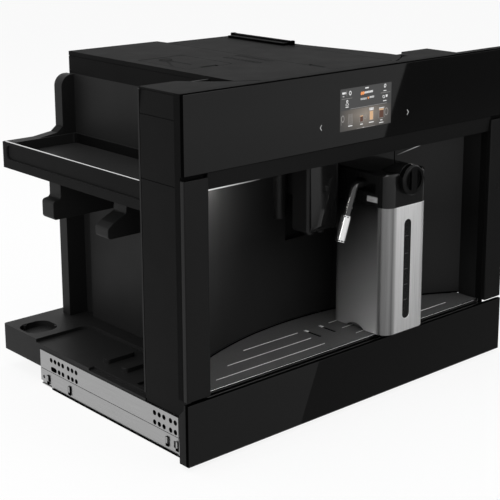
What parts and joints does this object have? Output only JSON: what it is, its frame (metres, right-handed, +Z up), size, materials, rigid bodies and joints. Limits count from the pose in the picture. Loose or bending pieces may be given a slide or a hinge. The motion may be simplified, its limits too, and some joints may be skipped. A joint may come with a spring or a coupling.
{
  "type": "built-in coffee machine",
  "caption": "Dark glass-fronted built-in coffee machine on telescopic rails, with a curved cavity, coffee spout, steel milk jug, drip tray, side shelf and lidded top.",
  "frame": {"origin": "middle of the bounding box at the underside of the rails", "axes": "+X to the right seen from the front, +Y from the front to the rear, +Z up"},
  "size_m": [0.595, 0.472, 0.4605],
  "materials": {
    "front_glass": "tinted safety glass with a bevelled edge",
    "frame_paint": "powder coated dark grey",
    "screen": "display surface",
    "circuit_board": "green circuit board",
    "trim_black": "satin black",
    "body_plastic": "fine-grained charcoal",
    "works_plastic": "moulded grey",
    "heater_metal": "die cast",
    "grid_steel": "dark coated steel",
    "brushed_steel": "brushed",
    "chrome": "polished",
    "button_grey": "light grey",
    "window_clear": "smoked level window",
    "tank_clear": "smoky translucent",
    "rail_zinc": "bright zinc plated"
  },
  "bodies": {
    "cabinet_runners": {"runner_left": "rail_zinc", "runner_right": "rail_zinc"},
    "sliders": {"slider_left": "rail_zinc", "slider_right": "rail_zinc"},
    "machine": {"rail_left": "rail_zinc", "rail_right": "rail_zinc", "base_plate": "body_plastic", "front_frame": "frame_paint", "control_glass": "front_glass", "display_module": "screen", "control_board": "circuit_board", "trim_left": "trim_black", "trim_right": "trim_black", "hood_fascia": "frame_paint", "pillar_left": "body_plastic", "pillar_right": "body_plastic", "cavity_liner": "body_plastic", "bulkhead": "body_plastic", "top_plate": "body_plastic", "casing_left": "body_plastic", "casing_rear": "body_plastic", "casing_right": "body_plastic", "top_cover": "body_plastic", "bean_hopper": "body_plastic", "inner_frame": "works_plastic", "grinder": "works_plastic", "brew_unit": "works_plastic", "grounds_container": "works_plastic", "pump": "works_plastic", "boiler": "heater_metal", "power_board": "circuit_board", "power_inlet": "body_plastic", "shelf": "trim_black", "shelf_rod": "chrome", "cup_hooks": "body_plastic"},
    "bean_lid": {"bean_lid": "body_plastic"},
    "ground_flap": {"ground_flap": "body_plastic"},
    "grind_dial": {"grind_dial": "body_plastic"},
    "drawer": {"drip_tray": "body_plastic", "cup_grid": "grid_steel", "tray_edge": "chrome", "lower_glass": "front_glass", "lower_carrier": "frame_paint"},
    "water_tank": {"water_tank": "tank_clear"},
    "tank_lid": {"tank_lid": "tank_clear"},
    "main_switch": {"main_switch": "body_plastic"},
    "service_door": {"service_door": "body_plastic", "spout_guide": "body_plastic"},
    "coffee_spout": {"spout_shell": "body_plastic", "spout_front": "trim_black", "coffee_nozzles": "body_plastic"},
    "milk_jug": {"jug_sleeve": "brushed_steel", "jug_vessel": "works_plastic", "jug_window": "window_clear", "jug_lid": "body_plastic", "intake_tube": "works_plastic"},
    "froth_knob": {"froth_knob": "brushed_steel"},
    "milk_spout": {"milk_spout": "trim_black"},
    "milk_tip": {"milk_tip": "chrome"},
    "lid_button": {"lid_button": "button_grey"}
  },
  "joints": [
    {"name": "machine_slide", "type": "slide", "parent": "cabinet_runners", "child": "machine", "axis": [0, -1, 0], "range_m": [0, 0.3]},
    {"name": "slider_slide", "type": "slide", "parent": "cabinet_runners", "child": "sliders", "axis": [0, -1, 0], "range_m": [0, 0.15]},
    {"name": "drawer_slide", "type": "slide", "parent": "machine", "child": "drawer", "axis": [0, -1, 0], "range_m": [0, 0.12]},
    {"name": "door_hinge", "type": "hinge", "parent": "machine", "child": "service_door", "pos_m": [-0.2515, -0.152, 0.205], "axis": [0, 0, -1], "range_deg": [0, 95]},
    {"name": "spout_slide", "type": "slide", "parent": "service_door", "child": "coffee_spout", "axis": [0, 0, -1], "range_m": [0, 0.058]},
    {"name": "jug_slide", "type": "slide", "parent": "service_door", "child": "milk_jug", "axis": [0, -1, 0], "range_m": [0, 0.15]},
    {"name": "froth_turn", "type": "hinge", "parent": "milk_jug", "child": "froth_knob", "pos_m": [0.0775, -0.226, 0.304], "axis": [0, -1, 0], "range_deg": [0, 90]},
    {"name": "milk_swing", "type": "hinge", "parent": "milk_jug", "child": "milk_spout", "pos_m": [0.042, -0.178, 0.2955], "axis": [-1, 0, 0], "range_deg": [0, 75]},
    {"name": "tip_slide", "type": "slide", "parent": "milk_spout", "child": "milk_tip", "axis": [-0.342, 0, -0.9397], "range_m": [0, 0.01]},
    {"name": "button_press", "type": "slide", "parent": "milk_jug", "child": "lid_button", "axis": [1, 0, 0], "range_m": [0, 0.002], "stiffness_N_per_m": 400},
    {"name": "bean_lid_hinge", "type": "hinge", "parent": "machine", "child": "bean_lid", "pos_m": [0.112, 0.11, 0.4575], "axis": [0, 1, 0], "range_deg": [0, 95]},
    {"name": "flap_hinge", "type": "hinge", "parent": "machine", "child": "ground_flap", "pos_m": [-0.112, 0.06465, 0.45265], "axis": [-1, 0, 0], "range_deg": [0, 95]},
    {"name": "dial_turn", "type": "hinge", "parent": "machine", "child": "grind_dial", "pos_m": [0.049, -0.096, 0.445], "axis": [0, 0, 1], "range_deg": [-90, 90]},
    {"name": "tank_slide", "type": "slide", "parent": "machine", "child": "water_tank", "axis": [1, 0, 0], "range_m": [0, 0.16]},
    {"name": "tank_lid_hinge", "type": "hinge", "parent": "water_tank", "child": "tank_lid", "pos_m": [0.152, 0.057, 0.3742], "axis": [0, -1, 0], "range_deg": [0, 75]},
    {"name": "switch_tip", "type": "hinge", "parent": "machine", "child": "main_switch", "pos_m": [-0.056, 0.206, 0.101], "axis": [1, 0, 0], "range_deg": [-8, 8]}
  ],
  "couplings": [
    {"joint": "slider_slide", "follows": "machine_slide", "ratio": 0.5}
  ]
}
